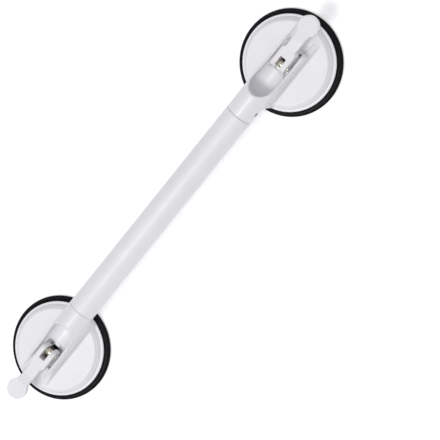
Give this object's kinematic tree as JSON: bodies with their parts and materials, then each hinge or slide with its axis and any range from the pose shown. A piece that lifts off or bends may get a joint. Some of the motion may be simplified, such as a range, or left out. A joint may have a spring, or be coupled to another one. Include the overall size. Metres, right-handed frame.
{
  "type": "suction grab bar",
  "caption": "Grab bar with a round white grip between two suction heads, each with a rubber pad, a moulded shell and a cam lever that pulls the pad up.",
  "frame": {"origin": "midway between the two suction heads, on the plane of the pads' sealing rims (the wall)", "axes": "+X along the grip towards the head with the longer neck, +Z away from the wall, +Y across the bar"},
  "size_m": [0.562, 0.12, 0.06],
  "materials": {
    "grip_plastic": "satin moulded plastic, slightly cool white",
    "shell_plastic": "satin moulded plastic, slightly cool white",
    "lever_plastic": "satin moulded plastic with a raised dot grip on the thumb pad",
    "pad_rubber": "smooth moulded black rubber",
    "core_aluminium": "drawn tube, mill finish",
    "plug_plastic": "moulded, dark",
    "screw_steel": "black oxide screw",
    "wear_steel": "pressed stainless sheet",
    "strap_steel": "bright plated strip with a warm tint",
    "rivet_steel": "formed rivet"
  },
  "bodies": {
    "root": {"grip_tube": "grip_plastic", "core_tube": "core_aluminium", "core_plug_left": "plug_plastic", "core_plug_right": "plug_plastic", "neck_screw_left": "screw_steel", "neck_screws_right": "screw_steel", "shell_left": "shell_plastic", "wear_plate_left": "wear_steel", "suction_pad_left": "pad_rubber", "shell_right": "shell_plastic", "wear_plate_right": "wear_steel", "suction_pad_right": "pad_rubber"},
    "pull_left": {"core_plate_left": "wear_steel", "pull_strap_left": "strap_steel", "strap_rivets_left": "rivet_steel", "lever_pin_left": "strap_steel"},
    "lever_left": {"cam_lever_left": "lever_plastic"},
    "pull_right": {"core_plate_right": "wear_steel", "pull_strap_right": "strap_steel", "strap_rivets_right": "rivet_steel", "lever_pin_right": "strap_steel"},
    "lever_right": {"cam_lever_right": "lever_plastic"}
  },
  "joints": [
    {"name": "pull_left_slide", "type": "slide", "parent": "root", "child": "pull_left", "axis": [0, 0, 1], "range_m": [-0.004, 0], "deforming": ["suction_pad_left"]},
    {"name": "lever_left_hinge", "type": "hinge", "parent": "pull_left", "child": "lever_left", "pos_m": [-0.2145, 0, 0.038], "axis": [0, 1, 0], "range_deg": [0, 90]},
    {"name": "pull_right_slide", "type": "slide", "parent": "root", "child": "pull_right", "axis": [0, 0, 1], "range_m": [-0.004, 0], "deforming": ["suction_pad_right"]},
    {"name": "lever_right_hinge", "type": "hinge", "parent": "pull_right", "child": "lever_right", "pos_m": [0.2145, 0, 0.038], "axis": [0, -1, 0], "range_deg": [0, 90]}
  ],
  "couplings": [
    {"joint": "pull_left_slide", "follows": "lever_left_hinge", "m_per_rad": -0.0025464},
    {"joint": "pull_right_slide", "follows": "lever_right_hinge", "m_per_rad": -0.0025464}
  ]
}
